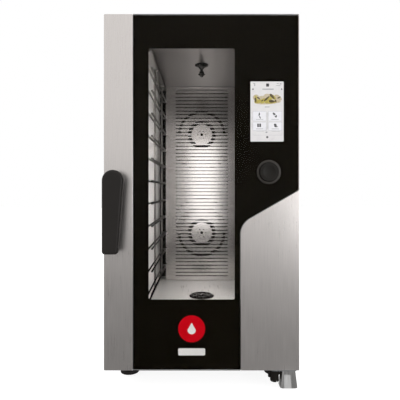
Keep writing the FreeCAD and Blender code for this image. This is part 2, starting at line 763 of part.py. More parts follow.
def lower_hinge_bracket():
    z0 = BASE_Z + 3
    z1 = BASE_Z + 7
    collar = rod_z(z1, BASE_Z + NOTCH_HEIGHT - GAP, HINGE_X, HINGE_Y, HINGE_ARM_RADIUS)
    pin = rod_z(z1, BASE_Z + 26, HINGE_X, HINGE_Y, HINGE_PIN_RADIUS)
    return join(hinge_arm(z0, z1), hinge_leg(z0, z1 + 28), collar, pin)


def hinge_brackets():
    return [lower_hinge_bracket(), upper_hinge_bracket()]


def latch_keeper():
    y0 = CASE_FRONT_Y + SHEET
    strip = box(HANDLE_X - 25, HANDLE_X + 25, y0, y0 + 3, HANDLE_Z - 48, HANDLE_Z + 38)
    slot = box(HANDLE_X - 11, HANDLE_X + 11, y0 - 1, y0 + 4, HANDLE_Z - 32, HANDLE_Z + 21)
    return strip.cut(slot)


def shower_holder():
    top = TONGUE_Z + TONGUE_THICK
    tongue = box(203, 281, -424, -325, TONGUE_Z, top)
    pad = box(203, 281, -362, -325, top, BASE_Z)
    corners = [
        e for e in tongue.Edges
        if e.Vertexes[0].Y < -400 and abs(e.Vertexes[0].Z - e.Vertexes[1].Z) > 3
    ]
    return join(tongue.makeFillet(10, corners), pad)


def level_outline(half_x, half_y, radius, z):
    """Rounded rectangle round the shower's centre, lying at height z."""
    slab = box(
        SHOWER_X - half_x, SHOWER_X + half_x, SHOWER_Y - half_y, SHOWER_Y + half_y, z, z + 1,
    )
    upright = [e for e in slab.Edges if abs(e.Vertexes[0].Z - e.Vertexes[1].Z) > 0.5]
    faces = slab.makeFillet(radius, upright).Faces
    return min(faces, key=lambda face: face.CenterOfMass.z).OuterWire


def shower_head():
    """Flared spray head with a flat front and a recessed spray face."""
    foot_wire = level_outline(25.8, 20.0, 9.0, SHOWER_LOW_Z)
    neck_wire = level_outline(19.8, 15.0, 7.0, TONGUE_Z)
    shell = Part.makeLoft([foot_wire, neck_wire], True, True)
    recess_low = level_outline(23.0, 17.2, 7.0, SHOWER_LOW_Z - 1)
    recess_high = level_outline(22.4, 16.6, 7.0, SHOWER_LOW_Z + 3)
    cuts = [Part.makeLoft([recess_low, recess_high], True, True)]
    for column in range(-2, 3):
        for row in (-1, 0, 1):
            x = SHOWER_X + 8.0 * column
            y = SHOWER_Y + 9.0 * row
            cuts.append(rod_z(SHOWER_LOW_Z, SHOWER_LOW_Z + 6, x, y, 1.2))
    return shell.cut(cuts)


def shower_valve():
    """Valve block with a side wing and a slot for the lever."""
    body = turned(
        [(0, VALVE_LOW_Z), (VALVE_RADIUS, VALVE_LOW_Z, 2.5), (VALVE_RADIUS, TONGUE_Z, 1.5), (0, TONGUE_Z)],
        VALVE_X, SHOWER_Y,
    )
    wing = plate(
        [
            (VALVE_X, TONGUE_Z - 8, 0.5), (VALVE_X - 17, TONGUE_Z - 8, 3.0),
            (VALVE_X - 27, TONGUE_Z - 4, 1.0), (VALVE_X - 27, TONGUE_Z, 0.5), (VALVE_X, TONGUE_Z, 0.5),
        ],
        SHOWER_Y - 8, SHOWER_Y + 8,
    )
    notch = box(VALVE_X + 4, VALVE_X + 6, SHOWER_Y - 14, SHOWER_Y + 14, VALVE_LOW_Z - 1, VALVE_LOW_Z + 4)
    slot = box(VALVE_X - 14, VALVE_X - 1, SHOWER_Y - 4.3, SHOWER_Y + 4.3, 34, 55)
    pin_hole = rod_y(SHOWER_Y - 9, SHOWER_Y + 9, VALVE_X - 5, LEVER_Z, LEVER_PIN_RADIUS + RUNNING)
    return join(body, wing).cut([notch, slot, pin_hole])


def shower_lever():
    y0 = SHOWER_Y - 3.9
    y1 = SHOWER_Y + 3.9
    x = VALVE_X - 5
    arm = plate([(x + 3, 48, 2.0), (x - 14, 48, 2.5), (x - 14, 40, 2.5), (x + 3, 42, 2.0)], y0, y1)
    pin = rod_y(SHOWER_Y - 8.5, SHOWER_Y + 8.5, x, LEVER_Z, LEVER_PIN_RADIUS)
    return join(arm, pin)


# ---------------------------------------------------------------- door
def hinge_notches():
    """Room for the hinge arms in the two right-hand corners of the door."""
    x1 = HALF_WIDTH + 1
    low = box(NOTCH_X, x1, NOTCH_Y[0], NOTCH_Y[1] + 1, BASE_Z - 1, BASE_Z + NOTCH_HEIGHT)
    high = box(NOTCH_X, x1, NOTCH_Y[0], NOTCH_Y[1] + 1, TOP_Z - NOTCH_HEIGHT, TOP_Z + 1)
    return [low, high]


def right_trim_outline():
    slope_top = TRIM_CORNER_Z + (HALF_WIDTH - RIGHT_TRIM_X) * TRIM_SLOPE
    return [
        (RIGHT_TRIM_X, BASE_Z, 1.5),
        (RIGHT_TRIM_X, TRIM_CORNER_Z, TRIM_CORNER_RADIUS),
        (HALF_WIDTH, slope_top, 1.0),
        (HALF_WIDTH, BASE_Z, 3.0),
    ]


def door_outer_glass():
    slope_top = TRIM_CORNER_Z + (HALF_WIDTH - RIGHT_TRIM_X) * TRIM_SLOPE
    corners = [
        (LEFT_TRIM_X, BASE_Z, 1.5),
        (RIGHT_TRIM_X - GAP, BASE_Z, 1.5),
        (RIGHT_TRIM_X - GAP, TRIM_CORNER_Z + GAP, TRIM_CORNER_RADIUS),
        (HALF_WIDTH, slope_top + GAP, 1.0),
        (HALF_WIDTH, TOP_Z, 3.0),
        (LEFT_TRIM_X, TOP_Z, 1.5),
    ]
    pane = plate(corners, DOOR_FRONT_Y, GLASS_BACK_Y)
    pane = pane.makeFillet(0.7, edges_at_y(pane, DOOR_FRONT_Y))
    return pane.cut(rod_y(DOOR_FRONT_Y - 1, GLASS_BACK_Y + 1, KNOB_X, KNOB_Z, BEZEL_SLEEVE_RADIUS + 0.5))


def door_left_trim():
    x1 = LEFT_TRIM_X - GAP
    corners = [
        (-HALF_WIDTH, BASE_Z, 3.0), (x1, BASE_Z, 1.0),
        (x1, TOP_Z, 1.0), (-HALF_WIDTH, TOP_Z, 3.0),
    ]
    face = plate(corners, DOOR_FRONT_Y, DOOR_FRONT_Y + 4)
    face = face.makeFillet(1.2, edges_at_y(face, DOOR_FRONT_Y))
    hollow = box(
        -HALF_WIDTH + SHEET, x1 - SHEET, DOOR_FRONT_Y + SHEET, DOOR_FRONT_Y + 5,
        BASE_Z + SHEET, TOP_Z - SHEET,
    )
    side = box(-HALF_WIDTH, -HALF_WIDTH + SHEET, DOOR_FRONT_Y + 4, DOOR_BACK_Y, BASE_Z + 3, TOP_Z - 3)
    spindle_hole = rod_y(DOOR_FRONT_Y - 1, DOOR_FRONT_Y + 5, HANDLE_X, HANDLE_Z, SPINDLE_RADIUS + 0.6)
    return join(face.cut(hollow), side).cut(spindle_hole)


def door_right_trim():
    slope_top = TRIM_CORNER_Z + (HALF_WIDTH - RIGHT_TRIM_X) * TRIM_SLOPE
    face = plate(right_trim_outline(), DOOR_FRONT_Y, DOOR_FRONT_Y + SHEET)
    face = face.makeFillet(1.2, edges_at_y(face, DOOR_FRONT_Y))
    x0 = HALF_WIDTH - SHEET
    low_side = box(x0, HALF_WIDTH, DOOR_FRONT_Y + SHEET, DOOR_BACK_Y, BASE_Z + 3, slope_top - 4)
    high_side = box(x0, HALF_WIDTH, GLASS_BACK_Y + GAP, DOOR_BACK_Y, slope_top - 4, TOP_Z - 3)
    return join(face, low_side, high_side).cut(hinge_notches())


def door_frame():
    """Pressed door pan, open to the front, with a walled window and two hinge blocks."""
    x1 = HALF_WIDTH - SHEET - GAP
    y0 = GLASS_BACK_Y + GAP
    y1 = DOOR_BACK_Y
    pan = box(-x1, x1, y0, y1, BASE_Z, TOP_Z)
    hollow = box(-x1 + SHEET, x1 - SHEET, y0 - 1, y1 - SHEET, BASE_Z + SHEET, TOP_Z - SHEET)
    wall = box(
        SURROUND_X[0] - SHEET, SURROUND_X[1] + SHEET, y0, y1 - SHEET,
        SURROUND_Z[0] - SHEET, SURROUND_Z[1] + SHEET,
    )
    blocks = [
        box(NOTCH_X, x1, NOTCH_Y[0], y1, BASE_Z, BASE_Z + 40),
        box(NOTCH_X, x1, NOTCH_Y[0], y1, TOP_Z - 40, TOP_Z),
    ]
    latch_boss = rod_y(y0, y1, HANDLE_X, HANDLE_Z, 14)
    body = join(pan.cut(hollow), wall, latch_boss, *blocks)
    cuts = hinge_notches()
    cuts.append(box(*SURROUND_X, y0 - 1, y1 + 1, *SURROUND_Z))
    bore = HINGE_PIN_RADIUS + RUNNING
    cuts.append(rod_z(BASE_Z, BASE_Z + 27, HINGE_X, HINGE_Y, bore))
    cuts.append(rod_z(TOP_Z - 27, TOP_Z, HINGE_X, HINGE_Y, bore))
    cuts.append(rod_y(y0 - 1, y1 + 1, HANDLE_X, HANDLE_Z, SPINDLE_RADIUS + RUNNING))
    return body.cut(cuts)


def door_inner_glass():
    corners = [
        (SURROUND_X[0] + GAP, SURROUND_Z[0] + GAP, 2.0),
        (SURROUND_X[1] - GAP, SURROUND_Z[0] + GAP, 2.0),
        (SURROUND_X[1] - GAP, SURROUND_Z[1] - GAP, 2.0),
        (SURROUND_X[0] + GAP, SURROUND_Z[1] - GAP, 2.0),
    ]
    return plate(corners, DOOR_BACK_Y - 8, DOOR_BACK_Y - 3)


def door_led_bars():
    """Lamp bars on both sides of the window, hidden by the dark border of the glass."""
    y0 = GLASS_BACK_Y + 5
    left = box(SURROUND_X[0] + GAP, SURROUND_X[0] + 11, y0, y0 + 14, 290, 1000)
    right = box(SURROUND_X[1] - 11, SURROUND_X[1] - GAP, y0, y0 + 14, 290, 1000)
    return [left, right]


def display_module():
    x, z = DISPLAY_CENTRE
    half_x = DISPLAY_SIZE[0] / 2
    half_z = DISPLAY_SIZE[1] / 2
    y0 = GLASS_BACK_Y + GAP
    panel = box(x - half_x, x + half_x, y0, y0 + 4, z - half_z, z + half_z)
    carrier = box(x - half_x - 6, x + half_x + 6, y0 + 4, y0 + 13, z - half_z - 7, z + half_z + 7)
    return join(panel, carrier)


def control_board():
    y0 = -402.0
    board = box(128, 252, y0, y0 + 1.6, 700, 930)
    parts = [board]
    for row in range(4):
        for column in range(3):
            x = 138 + 38 * column
            z = 712 + 54 * row
            parts.append(box(x, x + 24, y0 + 1.6, y0 + 8 + 2 * (row % 2), z, z + 30))
    posts = [rod_y(-411.7, y0, x, z, 3) for x in (142, 238) for z in (745, 905)]
    return join(*parts, *posts)


def knob_bezel():
    """Ring round the knob, held in the round hole of the glass."""
    front = -DOOR_FRONT_Y
    profile = [
        (BEZEL_BORE, front), (BEZEL_RADIUS, front),
        (BEZEL_RADIUS, front + 3, 1.5), (BEZEL_BORE, front + 4, 0.8),
    ]
    ring = turned_forward(profile, KNOB_X, KNOB_Z)
    sleeve = rod_y(DOOR_FRONT_Y, -417, KNOB_X, KNOB_Z, BEZEL_SLEEVE_RADIUS)
    sleeve = sleeve.cut(rod_y(DOOR_FRONT_Y - 1, -419, KNOB_X, KNOB_Z, BEZEL_BORE))
    return join(ring, sleeve).cut(rod_y(-420, -416, KNOB_X, KNOB_Z, 4))


def encoder_body():
    block = box(KNOB_X - 20, KNOB_X + 20, -417, -394, KNOB_Z - 20, KNOB_Z + 20)
    neck = rod_y(-418, -413, KNOB_X, KNOB_Z, 3 + RUNNING)
    chamber = rod_y(-413, -398, KNOB_X, KNOB_Z, 9)
    return block.cut([neck, chamber])


def knob_plunger():
    disc = rod_y(-412.5, -405, KNOB_X, KNOB_Z, 8.6)
    return disc.cut(rod_y(-414, -404, KNOB_X, KNOB_Z, 3 + RUNNING))


def knob_shaft():
    return rod_y(KNOB_FRONT_Y + 5, -401, KNOB_X, KNOB_Z, 3)


def knob_cap():
    front = -KNOB_FRONT_Y
    back = -DOOR_FRONT_Y - 1
    body = turned_forward(
        [(0, back), (KNOB_RADIUS, back, 1.0), (KNOB_RADIUS, front, 3.0), (0, front)],
        KNOB_X, KNOB_Z,
    )
    dish_radius = 19.0
    dish_depth = 1.6
    ball = (dish_radius ** 2 + dish_depth ** 2) / (2 * dish_depth)
    dish = Part.makeSphere(ball, Vector(KNOB_X, KNOB_FRONT_Y + dish_depth - ball, KNOB_Z))
    socket = rod_y(KNOB_FRONT_Y + 5, DOOR_FRONT_Y + 5, KNOB_X, KNOB_Z, 3)
    return body.cut([dish, socket])


# ---------------------------------------------------------------- door handle
def handle_lever():
    """Upright lever: round top over the pivot, tapering grip, stand-off hub."""
    left = HANDLE_X - HANDLE_WIDTH / 2
    right = HANDLE_X + HANDLE_WIDTH / 2
    lean = math.atan2(HANDLE_TAPER, HANDLE_TOP_Z - HANDLE_LOW_Z)
    top_radius = HANDLE_WIDTH / (1 + 1 / math.tan(math.pi / 4 - lean / 2))
    corners = [
        (left, HANDLE_TOP_Z, top_radius),
        (left, HANDLE_LOW_Z, 9.0),
        (right - HANDLE_TAPER, HANDLE_LOW_Z, 9.0),
        (right, HANDLE_TOP_Z, top_radius),
    ]
    grip = plate(corners, FRONT_Y, FRONT_Y + 27)
    grip = grip.makeFillet(7.0, edges_at_y(grip, FRONT_Y))
    grip = grip.makeFillet(6.0, edges_at_y(grip, FRONT_Y + 27))
    hub = rod_y(FRONT_Y + 20, DOOR_FRONT_Y - GAP, HANDLE_X, HANDLE_Z, 22)
    socket = rod_y(FRONT_Y + 22, DOOR_FRONT_Y, HANDLE_X, HANDLE_Z, SPINDLE_RADIUS)
    return join(grip, hub).cut(socket)


def latch_hook():
    spindle = rod_y(FRONT_Y + 22, LATCH_Y[1], HANDLE_X, HANDLE_Z, SPINDLE_RADIUS)
    bolt = plate(
        [
            (HANDLE_X - 7, HANDLE_Z + 6, 3.0), (HANDLE_X - 6, HANDLE_Z - 26, 4.0),
            (HANDLE_X + 6, HANDLE_Z - 26, 4.0), (HANDLE_X + 7, HANDLE_Z + 6, 3.0),
        ],
        *LATCH_Y,
    )
    return join(spindle, bolt)


# ---------------------------------------------------------------- feet
def foot(x, y):
    profile = [
        (0, 0), (FOOT_RADIUS, 0, 1.5), (FOOT_RADIUS, 11, 3.0), (FOOT_NECK_RADIUS, 16, 1.0),
        (FOOT_NECK_RADIUS, BASE_Z - 2, 1.5), (0, BASE_Z - 2),
    ]
    shoe = turned(profile, x, y)
    stem = rod_z(BASE_Z - 2, BASE_Z + 14, x, y, FOOT_THREAD_RADIUS)
    return join(shoe, stem)


# ---------------------------------------------------------------- export
NODES = [
    base_pan, left_side_panel, right_side_panel, top_panel, back_panel, front_frame,
    door_gasket, insulation, cover_screws, cavity_side_walls, cavity_ceiling, cavity_floor,
    cavity_back_wall, fan_cover, tray_rack_left, tray_rack_right, rack_studs,
    drain_strainer, drain_pipe, heating_elements, fan_motors, fan_wheel_upper,
    fan_wheel_lower, water_injector_pipes, wash_stem, wash_rotor, vent_pipe, vent_flap,
    vent_actuator, water_inlet_valves, power_board, terminal_block, cable_gland,
    cooling_fan_frame, cooling_fan_wheel, hinge_brackets, latch_keeper,
    shower_holder, shower_head, shower_valve, shower_lever, door_frame,
    door_outer_glass, door_left_trim, door_right_trim, door_inner_glass, door_led_bars,
    display_module, control_board, knob_bezel, encoder_body, knob_plunger, knob_shaft,
    knob_cap, handle_lever, latch_hook,
]


def save(name, made):
    shape = Part.makeCompound(made) if isinstance(made, list) else made
    shape.exportStep("parts/" + name + ".step")


os.makedirs("parts", exist_ok=True)
for make in NODES:
    save(make.__name__, make())
for name, (x, y) in feet_positions().items():
    save("foot_" + name, foot(x, y))
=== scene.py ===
import math

import bpy
from mathutils import Matrix, Vector


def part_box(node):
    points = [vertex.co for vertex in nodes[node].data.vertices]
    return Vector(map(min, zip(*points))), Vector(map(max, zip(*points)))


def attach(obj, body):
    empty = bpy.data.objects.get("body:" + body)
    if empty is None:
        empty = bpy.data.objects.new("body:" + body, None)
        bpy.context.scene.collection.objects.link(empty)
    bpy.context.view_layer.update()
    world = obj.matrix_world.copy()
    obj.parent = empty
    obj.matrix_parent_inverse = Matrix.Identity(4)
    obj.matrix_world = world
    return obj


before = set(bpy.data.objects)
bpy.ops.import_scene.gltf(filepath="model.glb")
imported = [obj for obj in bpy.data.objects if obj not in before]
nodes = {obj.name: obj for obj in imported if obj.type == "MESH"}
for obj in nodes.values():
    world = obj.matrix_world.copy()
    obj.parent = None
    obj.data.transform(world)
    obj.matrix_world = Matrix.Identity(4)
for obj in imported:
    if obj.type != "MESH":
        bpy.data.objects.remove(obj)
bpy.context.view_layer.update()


# ---------------------------------------------------------------- materials
def noise(tree, vector, scale, detail=5.0, rough=0.55):
    """Noise pattern's value at a vector."""
    node = tree.nodes.new("ShaderNodeTexNoise")
    node.inputs["Scale"].default_value = scale
    node.inputs["Detail"].default_value = detail
    node.inputs["Roughness"].default_value = rough
    tree.links.new(vector, node.inputs["Vector"])
    return node.outputs["Fac"]


def spread(tree, value, low, high, start=0.3, end=0.7):
    """Maps start..end onto low..high and stops at both ends. The default is the noise's middle band."""
    node = tree.nodes.new("ShaderNodeMapRange")
    node.inputs["From Min"].default_value = start
    node.inputs["From Max"].default_value = end
    node.inputs["To Min"].default_value = low
    node.inputs["To Max"].default_value = high
    tree.links.new(value, node.inputs["Value"])
    return node.outputs["Result"]


def combine(tree, operation, a, b):
    """One maths node on two numbers or sockets."""
    node = tree.nodes.new("ShaderNodeMath")
    node.operation = operation
    for socket, value in zip(node.inputs, (a, b)):
        if isinstance(value, (int, float)):
            socket.default_value = value
        else:
            tree.links.new(value, socket)
    return node.outputs[0]


def blend(tree, fac, a, b):
    """Mixes two colours, each a colour tuple or a socket."""
    node = tree.nodes.new("ShaderNodeMix")
    node.data_type = "RGBA"
    tree.links.new(fac, node.inputs["Factor"])
    for name, value in (("A", a), ("B", b)):
        socket = [s for s in node.inputs if s.name == name and s.type == "RGBA"][0]
        if isinstance(value, tuple):
            socket.default_value = (*value, 1.0)
        else:
            tree.links.new(value, socket)
    return [s for s in node.outputs if s.type == "RGBA"][0]


def edge_wear(tree, radius, grain):
    """High on convex edges, broken up by the grain."""
    bevel = tree.nodes.new("ShaderNodeBevel")
    bevel.samples = 4
    bevel.inputs["Radius"].default_value = radius
    geometry = tree.nodes.new("ShaderNodeNewGeometry")
    dot = tree.nodes.new("ShaderNodeVectorMath")
    dot.operation = "DOT_PRODUCT"
    tree.links.new(bevel.outputs["Normal"], dot.inputs[0])
    tree.links.new(geometry.outputs["Normal"], dot.inputs[1])
    bend = combine(tree, "SUBTRACT", 1.0, dot.outputs["Value"])
    edge = spread(tree, bend, 0.0, 1.0, start=0.03, end=0.25)
    return combine(tree, "MULTIPLY", edge, grain)


def finish(name, dark, light, rough, metallic=0.0, stretch=(1, 1, 1), grain=60.0, patch=6.0,
           bump=0.15, depth=0.0002, worn=None, wear=0.0008, mottle=0.35, **sockets):
    """Grain and patches drive the colour, roughness and bump of one Principled shader."""
    mat = bpy.data.materials.new(name)
    mat.use_nodes = True
    tree = mat.node_tree
    shader = tree.nodes["Principled BSDF"]
    coord = tree.nodes.new("ShaderNodeTexCoord").outputs["Object"]
    mapping = tree.nodes.new("ShaderNodeMapping")
    mapping.inputs["Scale"].default_value = stretch
    tree.links.new(coord, mapping.inputs["Vector"])
    fine = noise(tree, mapping.outputs["Vector"], grain)
    broad = noise(tree, coord, patch, detail=3.0)
    tone = combine(tree, "ADD", combine(tree, "MULTIPLY", fine, 1.0 - mottle),
                   combine(tree, "MULTIPLY", broad, mottle))
    colour = blend(tree, spread(tree, tone, 0.0, 1.0), dark, light)
    if worn:
        colour = blend(tree, edge_wear(tree, wear, spread(tree, broad, 0.2, 0.9)), colour, worn)
    tree.links.new(colour, shader.inputs["Base Color"])
    tree.links.new(spread(tree, tone, rough[0], rough[1]), shader.inputs["Roughness"])
    relief = tree.nodes.new("ShaderNodeBump")
    relief.inputs["Strength"].default_value = bump
    relief.inputs["Distance"].default_value = depth
    tree.links.new(fine, relief.inputs["Height"])
    tree.links.new(relief.outputs["Normal"], shader.inputs["Normal"])
    shader.inputs["Metallic"].default_value = metallic
    for key, value in sockets.items():
        shader.inputs[key.replace("_", " ")].default_value = value
    return mat


def lit(name, dark, light, strength, grain=60.0):
    """A lit screen or lamp, with slight unevenness in its colour."""
    mat = finish(name, dark, light, (0.25, 0.4), grain=grain, bump=0.02)
    tree = mat.node_tree
    shader = tree.nodes["Principled BSDF"]
    link = shader.inputs["Base Color"].links[0]
    tree.links.new(link.from_socket, shader.inputs["Emission Color"])
    tree.links.remove(link)
    shader.inputs["Base Color"].default_value = (0.02, 0.02, 0.02, 1.0)
    shader.inputs["Emission Strength"].default_value = strength
    return mat


def bright_away(mat, bright, z_range, y_range, deep_share=0.7):
    """Blends towards bright above z_range and behind y_range; low down near the door the colour stays dark.
    """
    tree = mat.node_tree
    socket = tree.nodes["Principled BSDF"].inputs["Base Color"]
    split = tree.nodes.new("ShaderNodeSeparateXYZ")
    tree.links.new(tree.nodes.new("ShaderNodeTexCoord").outputs["Object"], split.inputs["Vector"])
    high = spread(tree, split.outputs["Z"], 0.0, 1.0, *z_range)
    deep = spread(tree, split.outputs["Y"], 0.0, 1.0, *y_range)
    away = combine(tree, "MAXIMUM", high, combine(tree, "MULTIPLY", deep, deep_share))
    tree.links.new(blend(tree, away, socket.links[0].from_socket, bright), socket)


BRUSH_UP = (30, 30, 0.8)
BRUSH_ALONG = (0.8, 30, 30)
BRUSH_DEEP = (30, 0.8, 30)

stainless = finish("stainless_front", (0.585, 0.56, 0.55), (0.68, 0.65, 0.635), (0.25, 0.35), 1.0,
                   BRUSH_UP, 14, 3.0, 0.12, worn=(0.8, 0.79, 0.78))
stainless_case = finish("stainless_case", (0.52, 0.52, 0.51), (0.63, 0.62, 0.61), (0.28, 0.42), 1.0,
                        BRUSH_UP, 14, 3.0, 0.12, worn=(0.78, 0.78, 0.77))
stainless_top = finish("stainless_top", (0.52, 0.52, 0.51), (0.63, 0.62, 0.61), (0.28, 0.42), 1.0,
                       BRUSH_DEEP, 14, 3.0, 0.12, worn=(0.78, 0.78, 0.77))
ceiling_steel = finish("ceiling_steel", (0.40, 0.385, 0.375), (0.52, 0.50, 0.485), (0.30, 0.46), 1.0,
                       BRUSH_ALONG, 12, 4.0, 0.10, worn=(0.6, 0.6, 0.58))
cavity_wall = finish("cavity_wall", (0.60, 0.58, 0.565), (0.78, 0.755, 0.74), (0.36, 0.50), 0.30,
                     BRUSH_UP, 12, 4.0, 0.10, worn=(0.8, 0.8, 0.78))
cavity_floor = finish("cavity_floor_steel", (0.62, 0.60, 0.58), (0.82, 0.80, 0.78), (0.24, 0.45), 0.5,
                      BRUSH_DEEP, 12, 7.0, 0.12, worn=(0.75, 0.74, 0.72))
cover_steel = finish("fan_cover_steel", (0.47, 0.45, 0.44), (0.60, 0.575, 0.56), (0.17, 0.25), 1.0,
                     BRUSH_ALONG, 12, 4.0, 0.10, worn=(0.85, 0.85, 0.83), wear=0.0006)
# The rack wire is stainless; its near-black colour is painted shade, lightened above and towards the back by
# bright_away.
wire = finish("rack_wire", (0.030, 0.028, 0.026), (0.08, 0.076, 0.072), (0.30, 0.46), 1.0,
              (1, 1, 1), 220, 12.0, 0.08, Specular_Tint=(0.12, 0.12, 0.12, 1.0))
bright_away(wire, (0.36, 0.345, 0.33), (0.635, 0.69), (-0.16, -0.04))
zinc = finish("zinc_sheet", (0.44, 0.455, 0.47), (0.60, 0.615, 0.63), (0.32, 0.50), 1.0,
              (1, 1, 1), 110, 22.0, 0.10, mottle=0.4, worn=(0.72, 0.73, 0.74))
# Back wall, fan wheels and heating elements behind the fan cover: their near-black colour is painted shade of
# the fan chamber.
chamber_shade = finish("chamber_painted_shade_steel", (0.010, 0.009, 0.008), (0.034, 0.030, 0.026), (0.40, 0.62), 1.0,
                (1, 1, 1), 60, 8.0, 0.2, worn=(0.12, 0.11, 0.10), Specular_Tint=(0.3, 0.3, 0.3, 1.0))
paint = finish("motor_paint", (0.07, 0.075, 0.08), (0.13, 0.14, 0.15), (0.35, 0.55), 0.0,
               (1, 1, 1), 300, 8.0, 0.25, worn=(0.35, 0.35, 0.35))
wool = finish("mineral_wool", (0.42, 0.36, 0.22), (0.80, 0.74, 0.56), (0.85, 0.98), 0.0,
              (1, 1, 4), 240, 12.0, 0.9, 0.002, mottle=0.45)
silicone = finish("silicone", (0.030, 0.030, 0.031), (0.060, 0.060, 0.061), (0.5, 0.7), 0.0,
                  (1, 1, 1), 160, 9.0, 0.15)
brass = finish("cast_brass", (0.50, 0.36, 0.16), (0.76, 0.60, 0.32), (0.25, 0.45), 1.0,
               (1, 1, 1), 200, 20.0, 0.3, worn=(0.85, 0.7, 0.42))
plastic = finish("black_plastic", (0.007, 0.006, 0.0055), (0.013, 0.0115, 0.0105), (0.34, 0.48), 0.0,
                 (1, 1, 1), 900, 9.0, 0.22, 0.00015, worn=(0.05, 0.048, 0.045), Specular_IOR_Level=0.18)
knob_black = finish("knob_black", (0.004, 0.0035, 0.003), (0.009, 0.008, 0.0065), (0.32, 0.44), 0.0,
                    (1, 1, 1), 900, 12.0, 0.15, 0.0001, worn=(0.04, 0.038, 0.035), Specular_IOR_Level=0.12)
ring_grey = finish("knob_ring", (0.022, 0.019, 0.016), (0.034, 0.030, 0.026), (0.34, 0.48), 0.0,
                   (1, 1, 1), 700, 12.0, 0.15, 0.0001, worn=(0.10, 0.09, 0.08), Specular_IOR_Level=0.2)
chrome = finish("shower_chrome", (0.70, 0.70, 0.70), (1.0, 1.0, 1.0), (0.05, 0.12), 1.0,
                (1, 1, 0.06), 95, 14.0, 0.03, mottle=0.1)
nozzle = finish("nozzle_steel", (0.025, 0.023, 0.022), (0.075, 0.07, 0.067), (0.2, 0.35), 1.0,
                (1, 1, 1), 120, 20.0, 0.1, worn=(0.4, 0.39, 0.38))
shaft = finish("turned_steel", (0.48, 0.48, 0.47), (0.66, 0.66, 0.65), (0.2, 0.35), 1.0,
               (12, 1, 12), 60, 12.0, 0.12, worn=(0.8, 0.8, 0.8))
board = finish("solder_mask", (0.015, 0.09, 0.035), (0.03, 0.17, 0.07), (0.3, 0.5), 0.0,
               (1, 1, 1), 420, 30.0, 0.3)
glass = finish("door_glass", (0.93, 0.925, 0.92), (0.97, 0.965, 0.96), (0.0, 0.03), 0.0,
               (1, 1, 1), 5, 2.5, 0.0, Transmission_Weight=1.0, IOR=1.09)
print_black = finish("glass_print_ink", (0.0045, 0.0035, 0.0019), (0.0085, 0.0069, 0.0041), (0.6, 0.8), 0.0,
                     (1, 1, 1), 300, 4.0, 0.05, Specular_IOR_Level=0.0)
lamp = lit("lamp_diffuser", (0.80, 0.78, 0.74), (0.92, 0.90, 0.87), 0.35)
screen = lit("screen_lit", (0.72, 0.71, 0.72), (0.80, 0.79, 0.79), 1.0)

FINISHES = {
    stainless: ["door_left_trim", "door_right_trim"],
    stainless_case: ["left_side_panel", "right_side_panel", "front_frame"],
    stainless_top: ["top_panel"],
    cavity_wall: ["cavity_side_walls"],
    ceiling_steel: ["cavity_ceiling"],
    chamber_shade: ["cavity_back_wall", "fan_wheel_upper", "fan_wheel_lower", "heating_elements"],
    cavity_floor: ["cavity_floor"],
    cover_steel: ["fan_cover"],
    wire: ["tray_rack_left", "tray_rack_right", "rack_studs"],
    zinc: ["base_pan", "back_panel", "door_frame", "hinge_brackets"],
    shaft: [
        "drain_pipe", "water_injector_pipes", "vent_pipe", "vent_flap", "latch_keeper", "latch_hook",
        "knob_shaft", "cover_screws",
    ],
    nozzle: ["wash_stem", "wash_rotor", "drain_strainer"],
    paint: ["fan_motors", "shower_holder"],
    wool: ["insulation"],
    silicone: ["door_gasket"],
    brass: ["water_inlet_valves"],
    plastic: [
        "handle_lever", "foot_front_left", "foot_front_right", "foot_rear_left", "foot_rear_right",
        "cable_gland", "cooling_fan_frame", "cooling_fan_wheel", "vent_actuator", "terminal_block",
        "encoder_body", "knob_plunger",
    ],
    knob_black: ["knob_cap", "shower_valve", "shower_lever"],
    ring_grey: ["knob_bezel"],
    chrome: ["shower_head"],
    board: ["power_board", "control_board"],
    glass: ["door_outer_glass", "door_inner_glass"],
    lamp: ["door_led_bars"],
    screen: ["display_module"],
}

finished = set()
for mat, names in FINISHES.items():
    for name in names:
        slots = nodes[name].data.materials
        slots.clear()
        slots.append(mat)
        finished.add(name)
assert finished == set(nodes), sorted(set(nodes) - finished)


# ---------------------------------------------------------------- printed and lit layers
def rounded(x0, z0, x1, z1, radius, steps=6):
    """Loop of a rectangle with round corners."""
    loop = []
    corners = (
        (x1 - radius, z0 + radius, -90), (x1 - radius, z1 - radius, 0),
        (x0 + radius, z1 - radius, 90), (x0 + radius, z0 + radius, 180),
    )
    for cx, cz, start in corners:
        for i in range(steps + 1):
            angle = math.radians(start + 90.0 * i / steps)
            loop.append((cx + radius * math.cos(angle), cz + radius * math.sin(angle)))
    return loop


def disc(cx, cz, radius, steps=64):
    """Loop of a circle."""
    return [
        (cx + radius * math.cos(math.tau * i / steps), cz + radius * math.sin(math.tau * i / steps))
        for i in range(steps)
    ]


def layer(name, loops, y0, y1, mat, body="door"):
    """Thin plate facing -Y, from (x, z) loops; inner loops are holes."""
    curve = bpy.data.curves.new(name + "_outline", "CURVE")
    curve.dimensions = "2D"
    curve.fill_mode = "BOTH"
    curve.extrude = (y1 - y0) / 2
    for loop in loops:
        spline = curve.splines.new("POLY")
        spline.points.add(len(loop) - 1)
        for point, (x, z) in zip(spline.points, loop):
            point.co = (x, z, 0.0, 1.0)
        spline.use_cyclic_u = True
    source = bpy.data.objects.new(name + "_source", curve)
    bpy.context.scene.collection.objects.link(source)
    graph = bpy.context.evaluated_depsgraph_get()
    mesh = bpy.data.meshes.new_from_object(source.evaluated_get(graph))
    bpy.data.objects.remove(source)
    turn = Matrix(((1, 0, 0, 0), (0, 0, -1, (y0 + y1) / 2), (0, 1, 0, 0), (0, 0, 0, 1)))
    mesh.transform(turn)
    mesh.name = name
    piece = bpy.data.objects.new(name, mesh)
    bpy.context.scene.collection.objects.link(piece)
    mesh.materials.clear()
    mesh.materials.append(mat)
    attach(piece, body)


